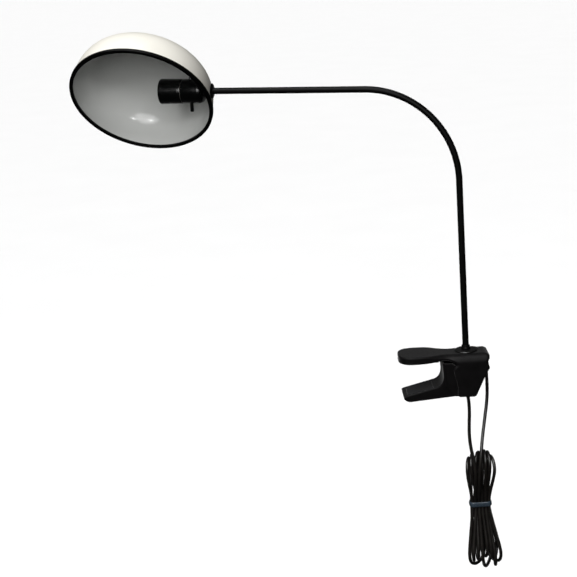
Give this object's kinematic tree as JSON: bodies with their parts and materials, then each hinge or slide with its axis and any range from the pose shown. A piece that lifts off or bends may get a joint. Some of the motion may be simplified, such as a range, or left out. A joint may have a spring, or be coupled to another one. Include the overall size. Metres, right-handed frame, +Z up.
{
  "type": "clip-on reading lamp",
  "caption": "Open dome shade and screw lampholder on a bent swivel arm, carried by a spring clamp, with its mains cord folded into a tied hank.",
  "frame": {"origin": "middle of the gripping face of the upper jaw's lining", "axes": "+Z up along the arm's upright, -X towards the jaws' open end, +Y towards the clamp's hidden side"},
  "size_m": [0.6459, 0.2464, 0.9031],
  "materials": {
    "black_plastic": "matte black moulded plastic with a fine grain",
    "black_rubber": "soft black moulding",
    "black_paint": "satin black powder coat on steel",
    "black_bakelite": "glossy black bakelite",
    "cream_paint": "cream enamel outside, pale grey gloss inside",
    "cord_jacket": "black PVC jacket with a soft shine",
    "blue_band": "glossy dark blue band",
    "steel": "plated steel",
    "brass": "plain brass",
    "porcelain": "pale insulating moulding",
    "lead_brown": "brown insulated lead",
    "lead_blue": "blue insulated lead"
  },
  "bodies": {
    "clamp": {"clamp_body": "black_plastic", "upper_pad": "black_rubber", "jaw_pin": "steel", "jaw_spring": "steel", "foot_flange": "black_paint", "cord_run_left": "cord_jacket", "cord_hank": "cord_jacket", "cord_run_right": "cord_jacket", "cord_tie": "blue_band", "plug_guard": "black_rubber", "plug_body": "black_rubber", "plug_pin_a": "steel", "plug_pin_b": "steel"},
    "jaw": {"lower_jaw": "black_plastic", "lower_pad": "black_rubber"},
    "arm": {"arm_tube": "black_paint", "foot_collar": "black_paint", "swivel_washer": "steel", "swivel_nut": "steel", "cord_guard": "black_rubber", "inner_cable": "cord_jacket", "shade_nut": "steel", "holder_cap": "black_bakelite", "holder_skirt": "black_bakelite", "holder_core": "porcelain", "screw_shell": "brass", "centre_contact": "brass", "side_contact": "brass", "terminal_screw_a": "brass", "terminal_screw_b": "brass", "lead_a": "lead_brown", "lead_b": "lead_blue", "neck_screw": "steel"},
    "shade": {"shade_shell": "cream_paint", "rim_trim": "black_rubber", "outer_washer": "black_paint", "inner_washer": "steel"},
    "switch": {"switch_bar": "black_bakelite"}
  },
  "joints": [
    {"name": "jaw_hinge", "type": "hinge", "parent": "clamp", "child": "jaw", "pos_m": [0.06, 0, -0.028], "axis": [0, -1, 0], "range_deg": [0, 12], "stiffness_Nm_per_rad": 1.6, "springref_deg": -28.65, "deforming": ["jaw_spring"]},
    {"name": "arm_swivel", "type": "hinge", "parent": "clamp", "child": "arm", "pos_m": [0.072, 0, 0.01], "axis": [0, 0, 1], "range_deg": [-150, 179]},
    {"name": "shade_tilt", "type": "hinge", "parent": "arm", "child": "shade", "pos_m": [-0.29901, 0.09595, 0.43286], "axis": [-0.9677, 0.2503, 0.0297], "range_deg": [-138, 41]},
    {"name": "switch_push", "type": "slide", "parent": "arm", "child": "switch", "axis": [0.0287, -0.0074, 0.9996], "range_m": [0, 0.008]}
  ]
}
